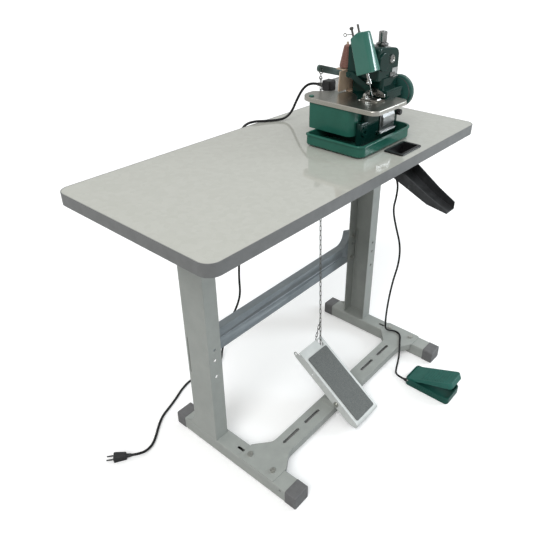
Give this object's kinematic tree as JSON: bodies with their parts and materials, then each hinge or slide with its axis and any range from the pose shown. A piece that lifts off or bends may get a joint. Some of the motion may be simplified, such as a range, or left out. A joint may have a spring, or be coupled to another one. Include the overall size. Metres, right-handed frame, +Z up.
{
  "type": "serger overlock machine",
  "caption": "Overlock sewing station: enamelled overlock head on a work table with a two-legged stand, presser-lifting treadle and chain, waste chute and separate foot control.",
  "frame": {"origin": "on the floor, at the middle of the box that holds table, stand and foot control", "axes": "+X along the table to the operator's right, +Y away from the operator, +Z up"},
  "size_m": [1.1158, 0.7062, 1.0369],
  "materials": {
    "table_laminate": "satin",
    "edge_band": "satin",
    "stand_paint": "satin",
    "black_plastic": "matte",
    "cap_plastic": "matte",
    "zinc_steel": "satin",
    "chute_sheet": "satin",
    "rubber": "matte",
    "green_enamel": "gloss",
    "dark_enamel": "gloss",
    "bright_steel": "polished",
    "chrome": "polished",
    "motor_paint": "satin",
    "pulley_metal": "satin",
    "beige_paint": "satin",
    "thread": "matte",
    "control_plastic": "satin"
  },
  "bodies": {
    "station": {"table_top": "table_laminate", "table_edge_band": "edge_band", "right_foot": "stand_paint", "left_foot": "stand_paint", "right_column": "stand_paint", "left_column": "stand_paint", "column_top_plates": "stand_paint", "upper_crossbar": "stand_paint", "treadle_bar": "stand_paint", "treadle_bracket": "stand_paint", "chute_frame": "black_plastic", "cord_glands": "black_plastic", "mains_plug": "black_plastic", "foot_end_caps": "cap_plastic", "stand_fasteners": "zinc_steel", "treadle_pivot_pin": "zinc_steel", "front_cover_pin": "zinc_steel", "lifter_shaft": "zinc_steel", "foot_control_pin": "zinc_steel", "waste_chute": "chute_sheet", "tray_feet": "rubber", "drive_belt": "rubber", "mains_cord": "rubber", "foot_cord": "rubber", "base_tray": "green_enamel", "left_side_cover": "green_enamel", "needle_bar_cover": "green_enamel", "machine_bed": "dark_enamel", "upper_arm": "dark_enamel", "needle_plate": "bright_steel", "lower_knife": "bright_steel", "thread_guides": "bright_steel", "oil_sight_cap": "chrome", "tension_unit": "chrome", "pressure_screw": "chrome", "motor_body": "motor_paint", "spool_stand": "beige_paint", "thread_cone": "thread", "foot_control_base": "control_plastic"},
    "treadle": {"treadle_plate": "stand_paint", "treadle_pad": "rubber"},
    "lifter_lever": {"lifter_lever": "green_enamel"},
    "chain_hook": {"chain_hook": "zinc_steel"},
    "lifter_chain": {"lifter_chain": "zinc_steel"},
    "presser": {"presser_arm": "dark_enamel", "presser_foot": "bright_steel"},
    "handwheel": {"handwheel": "green_enamel", "main_shaft": "zinc_steel"},
    "motor_pulley": {"motor_pulley": "pulley_metal"},
    "needle_bar": {"needle_bar": "bright_steel", "needle": "bright_steel"},
    "cloth_plate": {"cloth_plate": "bright_steel"},
    "front_cover": {"front_cover": "chrome"},
    "tension_knob": {"tension_knob": "chrome"},
    "stitch_knob": {"stitch_knob": "black_plastic"},
    "lower_looper": {"lower_looper": "bright_steel"},
    "upper_looper": {"upper_looper": "bright_steel"},
    "upper_knife": {"upper_knife": "bright_steel"},
    "feed_dog": {"feed_dog": "bright_steel"},
    "foot_pedal": {"foot_control_pedal": "control_plastic"}
  },
  "joints": [
    {"name": "treadle_tilt", "type": "hinge", "parent": "station", "child": "treadle", "pos_m": [-0.026, -0.115, 0.065], "axis": [-1, 0, 0], "range_deg": [0, 10]},
    {"name": "lifter_lever_swing", "type": "hinge", "parent": "station", "child": "lifter_lever", "pos_m": [0.28, 0.168, 0.886], "axis": [0, -1, 0], "range_deg": [0, 10.8]},
    {"name": "chain_hook_swing", "type": "hinge", "parent": "lifter_lever", "child": "chain_hook", "pos_m": [0.1765, 0.168, 0.9145], "axis": [0, 1, 0], "range_deg": [0, 10.6]},
    {"name": "chain_swing", "type": "hinge", "parent": "chain_hook", "child": "lifter_chain", "pos_m": [0.1765, 0.168, 0.8875], "axis": [1, 0, 0], "range_deg": [0, 1.5]},
    {"name": "presser_lift", "type": "hinge", "parent": "station", "child": "presser", "pos_m": [0.187, 0.083, 0.91], "axis": [-1, 0, 0], "range_deg": [0, 3.2]},
    {"name": "handwheel_turn", "type": "hinge", "parent": "station", "child": "handwheel", "pos_m": [0.3, 0.006, 0.858], "axis": [1, 0, 0], "continuous": true},
    {"name": "motor_turn", "type": "hinge", "parent": "station", "child": "motor_pulley", "pos_m": [0.305, 0.17, 0.848], "axis": [1, 0, 0], "continuous": true},
    {"name": "needle_stroke", "type": "slide", "parent": "station", "child": "needle_bar", "axis": [0, -0.342, -0.9397], "range_m": [0, 0.024]},
    {"name": "cloth_plate_swing", "type": "hinge", "parent": "station", "child": "cloth_plate", "pos_m": [0.1, 0.138, 0.86], "axis": [0, 0, -1], "range_deg": [0, 60]},
    {"name": "front_cover_open", "type": "hinge", "parent": "station", "child": "front_cover", "pos_m": [0.229, -0.0185, 0.774], "axis": [1, 0, 0], "range_deg": [0, 60]},
    {"name": "tension_turn", "type": "hinge", "parent": "station", "child": "tension_knob", "pos_m": [0.243, 0.026, 1.01], "axis": [0, 0, 1], "range_deg": [-180, 180]},
    {"name": "stitch_turn", "type": "hinge", "parent": "station", "child": "stitch_knob", "pos_m": [0.282, -0.014, 0.812], "axis": [0, -1, 0], "range_deg": [-120, 120]},
    {"name": "lower_looper_rock", "type": "hinge", "parent": "station", "child": "lower_looper", "pos_m": [0.232, 0.008, 0.792], "axis": [0, 1, 0], "range_deg": [-8, 8]},
    {"name": "upper_looper_rock", "type": "hinge", "parent": "station", "child": "upper_looper", "pos_m": [0.246, -0.002, 0.816], "axis": [0, 1, 0], "range_deg": [-6, 2]},
    {"name": "upper_knife_cut", "type": "hinge", "parent": "station", "child": "upper_knife", "pos_m": [0.203, 0.032, 0.878], "axis": [1, 0, 0], "range_deg": [0, 4]},
    {"name": "feed_stroke", "type": "slide", "parent": "station", "child": "feed_dog", "axis": [0, 1, 0], "range_m": [-0.0015, 0.0015]},
    {"name": "pedal_press", "type": "hinge", "parent": "station", "child": "foot_pedal", "pos_m": [0.226, -0.201, 0.019], "axis": [1, 0, 0], "range_deg": [0, 14], "stiffness_Nm_per_rad": 6, "springref_deg": -2.86}
  ],
  "couplings": [
    {"joint": "lifter_lever_swing", "follows": "treadle_tilt", "ratio": 1.06},
    {"joint": "chain_hook_swing", "follows": "treadle_tilt", "ratio": 1.037},
    {"joint": "chain_swing", "follows": "treadle_tilt", "ratio": 0.134},
    {"joint": "presser_lift", "follows": "treadle_tilt", "ratio": 0.3},
    {"joint": "motor_turn", "follows": "handwheel_turn", "ratio": 3.42}
  ]
}
